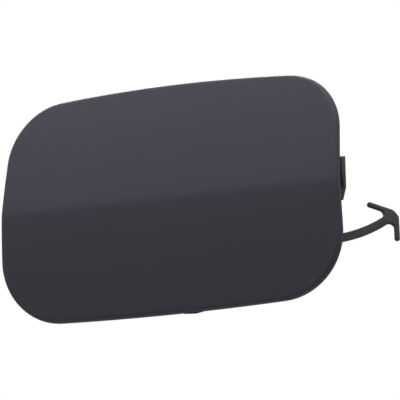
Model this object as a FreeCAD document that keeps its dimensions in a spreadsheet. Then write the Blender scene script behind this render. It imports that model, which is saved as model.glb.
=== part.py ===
"""Bumper tow hook cover, moulded in one piece.

A crowned panel with a soft crease closes the tow eye's aperture. Its show face looks towards -Y and is
pushed in along +Y, with +Z up. The origin lies on the crease, at the middle of the show face. Behind the
panel stand a locating rib that seats on the bumper's ledge, snap clips and hooked tongues, stiffening ribs,
and a flat tether strap that ends in a two-armed anchor. All lengths are in millimetres, all angles in degrees.
"""

import FreeCAD, Part
import math
import os

import Sketcher

SIZES = [
    # panel outline, seen square on
    ("half_width", 62.7, "half of the greatest width"),
    ("widest_drop", 23.3, "how far below the crease the panel is widest"),
    ("side_radius", 627.0, "bow of the left and right edges"),
    ("top_height", 38.2, "crease to the top of the upper edge"),
    ("top_radius", 565.0, "bow of the upper edge"),
    ("bottom_depth", 39.6, "crease to the bottom of the lower edge"),
    ("bottom_radius", 1212.0, "bow of the lower edge"),
    ("upper_corner", 20.8, "radius of the two upper corners"),
    ("lower_corner", 22.5, "radius of the two lower corners"),
    # show face and wall
    ("wall", 2.5, "moulded wall"),
    ("crown_radius", 900.0, "crown from side to side"),
    ("facet_radius", 400.0, "bow of each facet from top to bottom"),
    ("crease_radius", 16.0, "soft radius between the two facets"),
    ("upper_lean", 23.05, "lean of the upper facet where it leaves the crease"),
    ("lower_lean", 11.7, "lean of the lower facet where it leaves the crease"),
    ("rim_round", 1.6, "rolled edge of the show face"),
    # ribs
    ("rib_inset", 5.0, "panel edge to the outside of the locating rib"),
    ("rib_thickness", 1.6, "locating rib"),
    ("rib_height", 4.5, "locating rib above the inside of the wall"),
    ("rib_clearance", 1.5, "gap between the locating rib and a clip"),
    ("web_thickness", 1.2, "stiffening ribs"),
    ("web_height", 2.8, "stiffening ribs above the inside of the wall"),
    ("web_pitch", 24.0, "upright stiffening ribs from the middle"),
    ("web_high", 17.0, "upper level stiffening rib above the crease"),
    ("web_low", 18.0, "lower level stiffening rib below the crease"),
    ("upright_short", 1.0, "an upright rib's end short of the locating rib's middle"),
    ("level_short", 1.5, "a level rib's end short of the locating rib's middle"),
    ("trim_margin", 6.0, "how far the untrimmed blanks stand past the outline"),
    # side clips
    ("clip_inset", 5.6, "panel edge to the outside of a side clip's plate"),
    ("clip_plate", 2.0, "plate thickness"),
    ("clip_top", 7.3, "top of the plate above the crease"),
    ("clip_foot", 7.5, "foot of the plate below the crease"),
    ("clip_reach", 26.2, "rear end of the plate at its top"),
    ("clip_slant", 2.4, "how much sooner the plate ends at its bevel"),
    ("clip_bevel", 4.3, "bevel at the plate's lower rear corner"),
    ("clip_catch", 15.5, "catch face that grips behind the ledge"),
    ("barb_height", 2.2, "how far a side barb stands out"),
    ("barb_land", 1.2, "flat tip of a barb"),
    ("gusset_thickness", 1.2, "gussets that brace a side clip"),
    ("gusset_run", 4.8, "how far a gusset runs inward from the plate"),
    ("gusset_reach", 12.0, "rear end of a gusset along the plate"),
    ("gusset_inset", 3.0, "edge of the plate to the middle of a gusset"),
    # top clips
    ("lip_inset", 5.4, "panel edge to the outside of a top clip's plate"),
    ("lip_plate", 1.8, "plate thickness of top clips and bottom tongues"),
    ("lip_spacing", 22.0, "top clips from the middle"),
    ("lip_width", 10.0, "width of a top clip"),
    ("lip_catch", 27.0, "catch face of a top clip"),
    ("lip_reach", 36.0, "rear end of a top clip"),
    ("lip_barb", 2.0, "how far a top barb stands up"),
    # bottom tongues
    ("tongue_inset", 4.6, "panel edge to the outside of a tongue"),
    ("tongue_spacing", 24.0, "tongues from the middle"),
    ("tongue_width", 12.0, "width of a tongue"),
    ("tongue_catch", 6.0, "catch face of a tongue"),
    ("tongue_reach", 13.0, "rear end of a tongue"),
    ("tongue_hook", 2.0, "how far a tongue's hook stands down"),
    # tether
    ("tether_swing", 57.5, "turn of the strap from +X towards +Y"),
    ("tether_rise", 20.4, "climb of the strap"),
    ("tether_twist", 28.7, "turn of the strap about its own run"),
    ("tether_out", 9.15, "nose of the anchor beyond the panel edge"),
    ("tether_back", 27.6, "nose of the anchor behind the crease"),
    ("tether_drop", 14.4, "nose of the anchor below the crease"),
    ("strap_width", 2.8, "flat strap"),
    ("strap_thickness", 1.6, "strap and anchor"),
    ("strap_plain", 0.6, "straight run of the strap ahead of the anchor"),
    ("strap_bow", 55.0, "radius that the strap then curves to"),
    ("strap_length", 38.0, "nose to the buried root"),
    ("arm_width", 1.8, "anchor arm"),
    ("arm_back", 5.5, "how far an arm's end lies behind the nose"),
    ("arm_side", 7.65, "how far an arm's end lies beside the strap's line"),
    ("nose_side", 0.93, "half of the anchor's blunt nose"),
    ("armpit_radius", 1.4, "fillet between strap and arm"),
    ("strap_soften", 0.4, "broken edges of strap and anchor"),
    # trimmed gate on the lower edge
    ("gate_place", 8.2, "middle of the gate from the middle of the panel"),
    ("gate_width", 7.0, "width of the gate"),
    ("gate_thickness", 1.3, "thickness of the gate"),
    ("gate_proud", 0.4, "what is left standing after trimming"),
]

doc = FreeCAD.newDocument("tow_hook_cover")
sheet = doc.addObject("Spreadsheet::Sheet", "Sizes")
for row, (alias, value, meaning) in enumerate(SIZES, start=1):
    sheet.set("A%d" % row, alias)
    sheet.set("B%d" % row, repr(value))
    sheet.set("C%d" % row, meaning)
    sheet.setAlias("B%d" % row, alias)
doc.recompute()


class Size:
    """A length or ratio that knows both its value and the sheet expression that gives it."""

    def __init__(self, value, text):
        self.value = float(value)
        self.text = text

    def _join(self, other, sign, value):
        return Size(value, "(%s %s %s)" % (self.text, sign, size(other).text))

    def __add__(self, other):
        return self._join(other, "+", self.value + float(other))

    def __radd__(self, other):
        return size(other) + self

    def __sub__(self, other):
        return self._join(other, "-", self.value - float(other))

    def __rsub__(self, other):
        return size(other) - self

    def __mul__(self, other):
        return self._join(other, "*", self.value * float(other))

    def __rmul__(self, other):
        return size(other) * self

    def __truediv__(self, other):
        return self._join(other, "/", self.value / float(other))

    def __neg__(self):
        return Size(-self.value, "(-1 * %s)" % self.text)

    def __float__(self):
        return self.value


def size(number):
    return number if isinstance(number, Size) else Size(number, repr(float(number)))


def root(a):
    return Size(math.sqrt(float(a)), "sqrt(%s)" % a.text)


def sine(a):
    return Size(math.sin(math.radians(float(a))), "sin(%s)" % a.text)


def cosine(a):
    return Size(math.cos(math.radians(float(a))), "cos(%s)" % a.text)


def arc_sine(a):
    return Size(math.degrees(math.asin(float(a))), "asin(%s)" % a.text)


class Named:
    """Every cell of the sheet by its alias."""

    def __getattr__(self, alias):
        return Size(sheet.get(alias), "Sizes.%s" % alias)


S = Named()

# Reach of the blanks that are cut back later, from the values that they have to clear.
MARGIN = S.trim_margin
BLANK_HALF = S.crown_radius * 0.25
DEEP = S.lip_reach + S.tether_back


# sketch helpers

def new_body(name):
    return doc.addObject("PartDesign::Body", name)


def new_sketch(body, name, plane, offset=None):
    sketch = body.newObject("Sketcher::SketchObject", name)
    support = [o for o in body.Origin.OriginFeatures if o.Role == plane][0]
    sketch.AttachmentSupport = [(support, "")]
    sketch.MapMode = "FlatFace"
    if offset is not None:
        sketch.AttachmentOffset = FreeCAD.Placement(FreeCAD.Vector(0, 0, float(offset)), FreeCAD.Rotation())
        sketch.setExpression("AttachmentOffset.Base.z", offset.text)
    return sketch


def bind(item, path, value):
    item.setExpression(path, value.text)


def constrain(sketch, kind, refs, value):
    index = sketch.addConstraint(Sketcher.Constraint(kind, *(list(refs) + [float(value)])))
    bind(sketch, "Constraints[%d]" % index, value)


def pin_point(sketch, geo, pos, x, y):
    """Hold one point at x, y from the sketch's origin."""
    for kind, axis, value in (("DistanceX", -2, size(x)), ("DistanceY", -1, size(y))):
        if abs(float(value)) < 1e-9:
            sketch.addConstraint(Sketcher.Constraint("PointOnObject", geo, pos, axis))
        elif float(value) > 0:
            constrain(sketch, kind, (-1, 1, geo, pos), value)
        else:
            constrain(sketch, kind, (geo, pos, -1, 1), -value)


def vec(x, y):
    return FreeCAD.Vector(float(x), float(y), 0)


def arc_of(centre, radius, start, end):
    a0 = math.atan2(start[1] - centre[1], start[0] - centre[0])
    a1 = math.atan2(end[1] - centre[1], end[0] - centre[0])
    circle = Part.Circle(vec(*centre), FreeCAD.Vector(0, 0, 1), radius)
    return Part.ArcOfCircle(circle, a0, a1 if a1 > a0 else a1 + 2 * math.pi)


def loop(sketch, corners):
    """A closed outline. Each corner is (x, y, bow): bow is None for a straight run to the next corner, or
    (radius, side), with side +1 for an arc whose centre is on the left of the run and -1 for the right."""
    ends = []
    for i, (x, y, bow) in enumerate(corners):
        nx, ny = corners[(i + 1) % len(corners)][:2]
        a, b = (float(x), float(y)), (float(nx), float(ny))
        if bow is None:
            ends.append((sketch.addGeometry(Part.LineSegment(vec(*a), vec(*b)), False), 1, 2))
            continue
        radius, side = bow
        dx, dy = b[0] - a[0], b[1] - a[1]
        half = math.hypot(dx, dy) / 2
        rise = side * math.sqrt(float(radius) ** 2 - half ** 2) / (2 * half)
        centre = ((a[0] + b[0]) / 2 - dy * rise, (a[1] + b[1]) / 2 + dx * rise)
        first, last = (a, b) if side > 0 else (b, a)
        geo = sketch.addGeometry(arc_of(centre, float(radius), first, last), False)
        ends.append((geo, 1, 2) if side > 0 else (geo, 2, 1))
    for i, (geo, start, end) in enumerate(ends):
        following, first, _ = ends[(i + 1) % len(ends)]
        sketch.addConstraint(Sketcher.Constraint("Coincident", geo, end, following, first))
    for (geo, start, _), (x, y, bow) in zip(ends, corners):
        pin_point(sketch, geo, start, x, y)
        if bow is not None:
            constrain(sketch, "Radius", (geo,), size(bow[0]))


def rectangle(sketch, x0, x1, y0, y1):
    loop(sketch, [(x0, y0, None), (x1, y0, None), (x1, y1, None), (x0, y1, None)])


def meet(c0, r0, c1, r1, pick):
    """The crossing of two circles that scores highest."""
    dx, dy = c1[0] - c0[0], c1[1] - c0[1]
    d = math.hypot(dx, dy)
    a = (r0 * r0 - r1 * r1 + d * d) / (2 * d)
    q = math.sqrt(max(r0 * r0 - a * a, 0.0))
    m = (c0[0] + a * dx / d, c0[1] + a * dy / d)
    sides = [(m[0] - q * dy / d, m[1] + q * dx / d), (m[0] + q * dy / d, m[1] - q * dx / d)]
    return max(sides, key=pick)


def along(frm, to, radius):
    """The point at a radius from one centre, on the line away from it through another."""
    d = math.hypot(to[0] - frm[0], to[1] - frm[1])
    return (frm[0] + (to[0] - frm[0]) * radius / d, frm[1] + (to[1] - frm[1]) * radius / d)


def panel_outline(sketch, inset):
    """The panel's outline drawn in by an inset: four bowed edges and four corners, all tangent."""
    side, top, bottom = S.side_radius, S.top_radius, S.bottom_radius
    cx = S.half_width - side
    ct, cb, cz = S.top_height - top, bottom - S.bottom_depth, S.widest_drop
    r_side, r_top, r_bottom = side - inset, top - inset, bottom - inset
    r_up, r_low = S.upper_corner - inset, S.lower_corner - inset
    right, left = (float(cx), -float(cz)), (-float(cx), -float(cz))
    up, low = (0.0, float(ct)), (0.0, float(cb))
    rt, rb, rs = float(r_top), float(r_bottom), float(r_side)
    ru, rl = float(r_up), float(r_low)
    tr = meet(right, rs - ru, up, rt - ru, lambda p: p[0] + p[1])
    br = meet(right, rs - rl, low, rb - rl, lambda p: p[0] - p[1])
    tl, bl = (-tr[0], tr[1]), (-br[0], br[1])
    # each arc runs anticlockwise: centre, radius, centres of the neighbours it is tangent to
    arcs = [
        (up, r_top, tr, tl), (tl, r_up, up, left), (left, r_side, tl, bl), (bl, r_low, left, low),
        (low, r_bottom, bl, br), (br, r_low, low, right), (right, r_side, br, tr), (tr, r_up, right, up),
    ]
    geos = []
    for k, (centre, radius, before, after) in enumerate(arcs):
        big = k % 2 == 0
        if big:
            start, end = along(centre, before, float(radius)), along(centre, after, float(radius))
        else:
            r_before, r_after = float(arcs[k - 1][1]), float(arcs[(k + 1) % 8][1])
            start, end = along(before, centre, r_before), along(after, centre, r_after)
        geos.append(sketch.addGeometry(arc_of(centre, float(radius), start, end), False))
    for k, geo in enumerate(geos):
        sketch.addConstraint(Sketcher.Constraint("Tangent", geo, 2, geos[(k + 1) % 8], 1))
        constrain(sketch, "Radius", (geo,), arcs[k][1])
    pin_point(sketch, geos[0], 3, 0, ct)
    pin_point(sketch, geos[4], 3, 0, cb)
    pin_point(sketch, geos[6], 3, cx, -cz)
    pin_point(sketch, geos[2], 3, -cx, -cz)


def facet_centre(lean):
    return S.facet_radius * cosine(lean), -(S.facet_radius * sine(lean))


def section(sketch, front, back):
    """The section at the middle, between two offsets behind the show face, as y and z.

    With back None the section is filled far to the rear. The crown's upright axis comes with it."""
    top, bottom = S.top_height + MARGIN, S.bottom_depth + MARGIN
    (uy, uz), (ly, lz) = facet_centre(S.upper_lean), facet_centre(S.lower_lean)
    upper, lower = (float(uy), float(uz)), (float(ly), float(lz))

    def at(centre, radius, z):
        return centre[0] - math.sqrt(radius ** 2 - (z - centre[1]) ** 2), z

    def face(offset, soft):
        """lower arc, upper arc and, if soft, the crease arc between them"""
        big = S.facet_radius - offset
        r = float(big)
        foot, head = at(lower, r, -float(bottom)), at(upper, r, float(top))
        if soft:
            small = S.crease_radius - offset
            turn = meet(lower, r - float(small), upper, r - float(small), lambda p: -p[0])
            p_low, p_up = along(lower, turn, r), along(upper, turn, r)
        else:
            p_low = p_up = meet(lower, r, upper, r, lambda p: -p[0])
        low = sketch.addGeometry(arc_of(lower, r, p_low, foot), False)
        high = sketch.addGeometry(arc_of(upper, r, head, p_up), False)
        constrain(sketch, "Radius", (low,), big)
        constrain(sketch, "Radius", (high,), big)
        if soft:
            mid = sketch.addGeometry(arc_of(turn, float(small), p_up, p_low), False)
            constrain(sketch, "Radius", (mid,), small)
            sketch.addConstraint(Sketcher.Constraint("Tangent", high, 2, mid, 1))
            sketch.addConstraint(Sketcher.Constraint("Tangent", mid, 2, low, 1))
        else:
            sketch.addConstraint(Sketcher.Constraint("Coincident", high, 2, low, 1))
        pin_point(sketch, low, 3, ly, lz)
        pin_point(sketch, high, 3, uy, uz)
        return low, high, foot, head

    low, high, foot, head = face(size(front), True)
    if back is None:
        far_foot, far_head = (float(DEEP), foot[1]), (float(DEEP), head[1])
        wall = sketch.addGeometry(Part.LineSegment(vec(*far_foot), vec(*far_head)), False)
        pin_point(sketch, wall, 1, DEEP, -bottom)
        sketch.addConstraint(Sketcher.Constraint("Vertical", wall))
        far = (wall, 1, wall, 2)
    else:
        low2, high2, far_foot, far_head = face(size(back[0]), back[1])
        far = (low2, 2, high2, 1)
    sill = sketch.addGeometry(Part.LineSegment(vec(*foot), vec(*far_foot)), False)
    lid = sketch.addGeometry(Part.LineSegment(vec(*head), vec(*far_head)), False)
    sketch.addConstraint(Sketcher.Constraint("Coincident", sill, 1, low, 2))
    sketch.addConstraint(Sketcher.Constraint("Coincident", sill, 2, far[0], far[1]))
    sketch.addConstraint(Sketcher.Constraint("Coincident", lid, 1, high, 1))
    sketch.addConstraint(Sketcher.Constraint("Coincident", lid, 2, far[2], far[3]))
    sketch.addConstraint(Sketcher.Constraint("Horizontal", sill))
    sketch.addConstraint(Sketcher.Constraint("Horizontal", lid))
    if back is not None:
        constrain(sketch, "DistanceY", (low, 2, -1, 1), bottom)
    constrain(sketch, "DistanceY", (-1, 1, high, 1), top)
    axis = sketch.addGeometry(Part.LineSegment(vec(S.crown_radius, 0), vec(S.crown_radius, top)), True)
    sketch.addConstraint(Sketcher.Constraint("Vertical", axis))
    pin_point(sketch, axis, 1, S.crown_radius, 0)
    constrain(sketch, "DistanceY", (-1, 1, axis, 2), top)


def crowned(name, front, back):
    """A blank swept about the crown's axis, to both sides of the middle."""
    body = new_body(name)
    sketch = new_sketch(body, name + "_section", "YZ_Plane")
    section(sketch, front, back)
    turn = body.newObject("PartDesign::Revolution", name + "_turn")
    turn.Profile = sketch
    turn.ReferenceAxis = (sketch, ["Axis0"])
    turn.Midplane = True
    sweep = 2 * arc_sine(BLANK_HALF / S.crown_radius)
    turn.Angle = float(sweep)
    bind(turn, "Angle", sweep)
    body.Tip = turn
    doc.recompute()
    return body


def pad(body, sketch, name, length, both=False, cut=False):
    kind = "PartDesign::Pocket" if cut else "PartDesign::Pad"
    feature = body.newObject(kind, name)
    feature.Profile = sketch
    feature.Length = float(length)
    bind(feature, "Length", length)
    if both:
        feature.SideType = "Symmetric"
    body.Tip = feature
    return feature


def mirrored(name, source):
    twin = doc.addObject("Part::Mirroring", name)
    twin.Source = source
    twin.Normal = (1, 0, 0)
    twin.Base = (0, 0, 0)
    return twin


def fused(name, items):
    fuse = doc.addObject("Part::MultiFuse", name)
    fuse.Shapes = items
    fuse.Refine = False
    return fuse


def common(name, items):
    both = doc.addObject("Part::MultiCommon", name)
    both.Shapes = items
    both.Refine = False
    return both


# show panel

THROUGH = DEEP * 4

panel = crowned("panel", 0, (S.wall, True))
blank_volume = panel.Shape.Volume
trim = new_sketch(panel, "panel_outline", "XZ_Plane")
BIG_X, BIG_Z = BLANK_HALF * 2, S.top_height + S.bottom_depth + MARGIN
rectangle(trim, -BIG_X, BIG_X, -BIG_Z, BIG_Z)
panel_outline(trim, size(0))
pad(panel, trim, "panel_trim", THROUGH, both=True, cut=True)
doc.recompute()
if not panel.Shape.Volume < 0.8 * blank_volume:
    raise RuntimeError("the outline did not trim the panel")


def front_depth(x, z):
    """Depth of the show face at x, z, away from the crease's own radius."""
    lean = S.upper_lean if z > 0 else S.lower_lean
    cy, cz = (float(v) for v in facet_centre(lean))
    y = cy - math.sqrt(float(S.facet_radius) ** 2 - (z - cz) ** 2)
    crown = float(S.crown_radius)
    return crown - math.sqrt((crown - y) ** 2 - x ** 2)


def rim_edges(shape):
    """The edges where the show face meets the panel's upright edge."""
    names = []
    for number, edge in enumerate(shape.Edges, start=1):
        middle = edge.valueAt((edge.FirstParameter + edge.LastParameter) / 2)
        near_front = abs(middle.y - front_depth(middle.x, middle.z)) < float(S.wall) * 0.4
        beside = 0
        for face in shape.Faces:
            if any(edge.isSame(other) for other in face.Edges):
                u, v = face.Surface.parameter(middle)
                if abs(face.normalAt(u, v).y) < 1e-6:
                    beside += 1
        if near_front and beside == 1:
            names.append("Edge%d" % number)
    return names


trimmed = panel.Tip
rim = panel.newObject("PartDesign::Fillet", "panel_rim")
rim.Base = (trimmed, rim_edges(trimmed.Shape))
rim.Radius = float(S.rim_round)
bind(rim, "Radius", S.rim_round)
panel.Tip = rim
doc.recompute()

# ribs

rib_blank = crowned("rib_blank", S.wall / 2, (S.wall + S.rib_height, False))
web_blank = crowned("web_blank", S.wall / 2, (S.wall + S.web_height, False))

rib_plan = new_body("rib_plan")
ring = new_sketch(rib_plan, "rib_ring", "XZ_Plane")
panel_outline(ring, S.rib_inset)
panel_outline(ring, S.rib_inset + S.rib_thickness)
pad(rib_plan, ring, "rib_ring_pad", THROUGH, both=True)
gaps = new_sketch(rib_plan, "rib_gaps", "XZ_Plane")
CLEAR = S.rib_clearance
for turned in (1, -1):
    near, far = (S.half_width - S.upper_corner) * turned, (S.half_width + MARGIN) * turned
    rectangle(gaps, near, far, -(S.clip_foot + CLEAR), S.clip_top + CLEAR)
    middle, half = S.lip_spacing * turned, S.lip_width / 2 + CLEAR
    rectangle(gaps, middle - half, middle + half, S.top_height / 2, S.top_height + MARGIN)
    middle, half = S.tongue_spacing * turned, S.tongue_width / 2 + CLEAR
    rectangle(gaps, middle - half, middle + half, -(S.bottom_depth + MARGIN), -(S.bottom_depth / 2))
pad(rib_plan, gaps, "rib_gaps_cut", THROUGH, both=True, cut=True)

web_plan = new_body("web_plan")
webs = new_sketch(web_plan, "web_uprights", "XZ_Plane")
END = S.rib_inset + S.rib_thickness / 2
for turned in (1, -1):
    middle = S.web_pitch * turned
    half = S.web_thickness / 2
    foot, head = END - S.bottom_depth + S.upright_short, S.top_height - END - S.upright_short
    rectangle(webs, middle - half, middle + half, foot, head)
pad(web_plan, webs, "web_uprights_pad", THROUGH, both=True)
levels = new_sketch(web_plan, "web_levels", "XZ_Plane")
for level in (S.web_high, -S.web_low):
    half = S.web_thickness / 2
    reach = S.half_width - END - S.level_short
    rectangle(levels, -reach, reach, level - half, level + half)
pad(web_plan, levels, "web_levels_pad", THROUGH, both=True)
doc.recompute()

ribs = common("locating_rib", [rib_blank, rib_plan])
stiffeners = common("stiffeners", [web_blank, web_plan])

# side clips

FRONT = -(S.bottom_depth / 2)
side_clip = new_body("side_clip")
outer = S.half_width - S.clip_inset
plate = new_sketch(side_clip, "side_plate", "YZ_Plane", outer - S.clip_plate)
bevel_top = S.clip_bevel - S.clip_foot
bevel_start = S.clip_reach - S.clip_slant
loop(plate, [
    (FRONT, -S.clip_foot, None),
    (bevel_start - S.clip_bevel, -S.clip_foot, None),
    (bevel_start, bevel_top, None),
    (S.clip_reach, S.clip_top, None),
    (FRONT, S.clip_top, None),
])
pad(side_clip, plate, "side_plate_pad", S.clip_plate)
barb = new_sketch(side_clip, "side_barb", "XY_Plane", bevel_top)
inside = outer - S.clip_plate / 2
loop(barb, [
    (inside, S.clip_catch, None),
    (outer + S.barb_height, S.clip_catch, None),
    (outer + S.barb_height, S.clip_catch + S.barb_land, None),
    (outer, bevel_start - S.barb_land, None),
    (inside, bevel_start - S.barb_land, None),
])
pad(side_clip, barb, "side_barb_pad", S.clip_top - bevel_top)
inner = outer - S.clip_plate
for label, level in (("upper", S.clip_top - S.gusset_inset), ("lower", S.gusset_inset - S.clip_foot)):
    brace = new_sketch(side_clip, "gusset_" + label, "XY_Plane", level - S.gusset_thickness / 2)
    loop(brace, [
        (inner - S.gusset_run, FRONT, None), (inside, FRONT, None), (inside, S.gusset_reach, None),
        (inner, S.gusset_reach, None), (inner - S.gusset_run, S.wall, None),
    ])
    pad(side_clip, brace, "gusset_%s_pad" % label, S.gusset_thickness)
doc.recompute()
side_twin = mirrored("side_clip_left", side_clip)

# top clips and bottom tongues


def tab(name, spacing, width, low, up, catch, reach, hook):
    """A flat tab with a hook across it; up is +1 for a hook on its upper side and -1 for the lower."""
    body = new_body(name)
    flat = new_sketch(body, name + "_flat", "XY_Plane", low)
    x0, x1, nip = spacing - width / 2, spacing + width / 2, S.lip_plate
    loop(flat, [
        (x0, FRONT, None), (x1, FRONT, None), (x1, reach - nip, None),
        (x1 - nip, reach, None), (x0 + nip, reach, None), (x0, reach - nip, None),
    ])
    pad(body, flat, name + "_flat_pad", S.lip_plate)
    across = new_sketch(body, name + "_hook", "YZ_Plane", x0)
    middle = low + S.lip_plate / 2
    face = low + S.lip_plate if up > 0 else low
    tip = face + hook * up
    loop(across, [
        (catch, middle, None), (catch, tip, None), (catch + S.barb_land, tip, None),
        (reach - nip, face, None), (reach - nip, middle, None),
    ])
    pad(body, across, name + "_hook_pad", width)
    doc.recompute()
    return body


lip = tab("top_clip", S.lip_spacing, S.lip_width, S.top_height - S.lip_inset - S.lip_plate, 1,
          S.lip_catch, S.lip_reach, S.lip_barb)
tongue = tab("bottom_tongue", S.tongue_spacing, S.tongue_width, S.tongue_inset - S.bottom_depth, -1,
             S.tongue_catch, S.tongue_reach, S.tongue_hook)
lip_twin = mirrored("top_clip_left", lip)
tongue_twin = mirrored("bottom_tongue_left", tongue)

# tether with its anchor

tether = new_body("tether")
shape = new_sketch(tether, "tether_outline", "XY_Plane")
# Local x runs along the strap to the anchor's nose, local y across it. The strap bows about a centre on +y.
half = S.strap_width / 2
w = S.arm_width / 2
arm = root(S.arm_back * S.arm_back + (S.arm_side - S.nose_side) * (S.arm_side - S.nose_side))
ax, ay = -(S.arm_back / arm), (S.arm_side - S.nose_side) / arm
pit = S.armpit_radius
cap = w * 1.05
lean = S.arm_back / arm
run = pit * root((1 + lean) / (1 - lean))
# where an arm's inner side would cross the strap's edge, then where the strap starts to curve
cross_t = (half - S.nose_side - w * ax) / ay
cross_s = cross_t * ax - w * ay
curve = run - cross_s + S.strap_plain
beyond = S.strap_length - curve


def arm_points(side):
    """Corners beside one arm: outer side at the nose and end, inner side at the end and at the fillet, the
    fillet's foot on the strap, the start of the strap's curve, and the strap's root."""
    r = S.strap_bow - half * side
    return (
        (w * ay, (S.nose_side - w * ax) * side),
        (w * ay - S.arm_back, (S.arm_side - w * ax) * side),
        (-(S.arm_back + w * ay), (S.arm_side + w * ax) * side),
        (cross_s + run * ax, (half + run * ay) * side),
        (cross_s - run, half * side),
        (-curve, half * side),
        (-S.strap_length, S.strap_bow - root(r * r - beyond * beyond)),
    )


nose_l, end_l, turn_l, pit_l, foot_l, bend_l, root_l = arm_points(-1)
nose_u, end_u, turn_u, pit_u, foot_u, bend_u, root_u = arm_points(1)
loop(shape, [
    root_l + ((S.strap_bow + half, 1),), bend_l + (None,), foot_l + ((pit, -1),), pit_l + (None,),
    turn_l + ((cap, 1),), end_l + (None,), nose_l + (None,), nose_u + (None,), end_u + ((cap, 1),),
    turn_u + (None,), pit_u + ((pit, -1),), foot_u + (None,), bend_u + ((S.strap_bow - half, -1),),
    root_u + (None,),
])
pad(tether, shape, "tether_pad", S.strap_thickness, both=True)
doc.recompute()
flat = tether.Tip
flat_edges = []
for number, edge in enumerate(flat.Shape.Edges, start=1):
    z0, z1 = (edge.valueAt(t).z for t in (edge.FirstParameter, edge.LastParameter))
    if abs(z0 - z1) < 1e-6 and edge.CenterOfMass.x > -float(S.strap_length) + 0.01:
        flat_edges.append("Edge%d" % number)
soft = tether.newObject("PartDesign::Chamfer", "tether_soften")
soft.Base = (flat, flat_edges)
soft.Size = float(S.strap_soften)
bind(soft, "Size", S.strap_soften)
tether.Tip = soft
swing = FreeCAD.Rotation(FreeCAD.Vector(0, 0, 1), float(S.tether_swing))
rise = FreeCAD.Rotation(FreeCAD.Vector(0, 1, 0), -float(S.tether_rise))
twist = FreeCAD.Rotation(FreeCAD.Vector(1, 0, 0), 90.0 - float(S.tether_twist))
nose = FreeCAD.Vector(float(S.half_width + S.tether_out), float(S.tether_back), -float(S.tether_drop))
tether.Placement = FreeCAD.Placement(nose, swing.multiply(rise).multiply(twist))
bind(tether, "Placement.Base.x", S.half_width + S.tether_out)
bind(tether, "Placement.Base.y", S.tether_back)
bind(tether, "Placement.Base.z", -S.tether_drop)
doc.recompute()

# trimmed gate on the lower edge

edge_depth = front_depth(float(S.gate_place), -float(S.bottom_depth))
gate = doc.addObject("Part::Box", "gate")
for path, value in (
    ("Length", S.gate_width), ("Width", S.gate_thickness), ("Height", S.gate_proud + S.wall / 2),
    ("Placement.Base.x", S.gate_place - S.gate_width / 2),
    ("Placement.Base.y", edge_depth + (S.wall - S.gate_thickness) * 0.8),
    ("Placement.Base.z", -(S.bottom_depth + S.gate_proud)),
):
    bind(gate, path, size(value))

# one moulding

behind = crowned("behind_wall", S.wall / 2, None)
standing = fused("standing", [side_clip, side_twin, lip, lip_twin, tongue, tongue_twin, tether])
rooted = common("rooted", [behind, standing])
cover = fused("tow_hook_cover", [panel, ribs, stiffeners, rooted, gate])
cover.Label = "tow_hook_cover"
doc.recompute()

faults = [o.Name for o in doc.Objects if "Invalid" in o.State or "Error" in o.State]
if faults:
    raise RuntimeError("failed features: %s" % ", ".join(faults))
for piece in (cover,):
    if piece.Shape.isNull() or not piece.Shape.isValid() or len(piece.Shape.Solids) != 1:
        raise RuntimeError("%s is not one valid solid" % piece.Label)

os.makedirs("parts", exist_ok=True)
cover.Shape.exportStep("parts/%s.step" % cover.Label)
points = cover.Shape.tessellate(0.2)[0]
spans = [max(p[i] for p in points) - min(p[i] for p in points) for i in range(3)]
print("%s: %.1f x %.1f x %.1f mm, %.2f cm3, %d faces" % (
    cover.Label, spans[0], spans[1], spans[2], cover.Shape.Volume / 1000, len(cover.Shape.Faces)))
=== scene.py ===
"""Bumper tow hook cover.

The cover is one moulding: a crowned show panel with a soft crease and a trimmed gate, primed on its show
side, and behind it a locating rib, stiffening ribs, ejector marks, snap clips, hooked tongues and a flat
tether with a two-armed anchor, all in raw black plastic. Each group is modelled by its own operator.
Metres; the show face looks towards -Y, +Z is up, and the origin lies on the crease in the middle of the
show face.
"""

import math
from itertools import groupby

import bmesh
import bpy
from bpy.props import FloatProperty, FloatVectorProperty, PointerProperty
from mathutils import Matrix, Vector


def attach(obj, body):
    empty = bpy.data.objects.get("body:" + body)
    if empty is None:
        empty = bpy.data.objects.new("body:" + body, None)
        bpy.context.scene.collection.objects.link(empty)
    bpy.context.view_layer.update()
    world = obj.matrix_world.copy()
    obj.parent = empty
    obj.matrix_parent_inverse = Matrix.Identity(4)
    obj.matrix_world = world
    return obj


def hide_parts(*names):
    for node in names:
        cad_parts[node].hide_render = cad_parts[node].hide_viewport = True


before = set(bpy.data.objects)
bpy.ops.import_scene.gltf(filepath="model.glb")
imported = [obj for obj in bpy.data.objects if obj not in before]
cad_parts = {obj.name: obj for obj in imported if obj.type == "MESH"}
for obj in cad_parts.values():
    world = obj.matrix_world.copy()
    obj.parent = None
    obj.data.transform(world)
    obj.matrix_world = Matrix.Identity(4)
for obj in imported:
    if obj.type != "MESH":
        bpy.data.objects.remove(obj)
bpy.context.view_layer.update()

bl_info = {
    "name": "Bumper Tow Hook Cover",
    "version": (1, 0, 0),
    "blender": (4, 5, 0),
    "location": "View3D > Sidebar > Tow Cover",
    "description": "Models a primed tow hook cover with its clips, ribs and tether",
    "category": "Add Mesh",
}

MM = 0.001
NODE = "tow_hook_cover"
BODY = "root"
RAW, PRIMED = "raw_moulding", "primed_moulding"

# how finely forms are stepped: first counts, then metres between places
RIM_STEPS = 7
MARK_STEPS = 40
LAYER_STEPS = 6
RIB_FINER = 4
STRAP_STEPS, ARMPIT_STEPS, ARM_END_STEPS, NOSE_STEPS = 16, 8, 10, 5
UPRIGHT_STEP, LEVEL_STEP, FRONT_STEP = 1.5 * MM, 3 * MM, 2.5 * MM
# corners closer than this are one
WELD = 0.002 * MM

# a rounded corner as shares of its radius: how far a place draws in, and how far it lies below the end
CORNER_ARC = ((0.0, 1.0), (0.3, 0.3), (1.0, 0.0))
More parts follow.
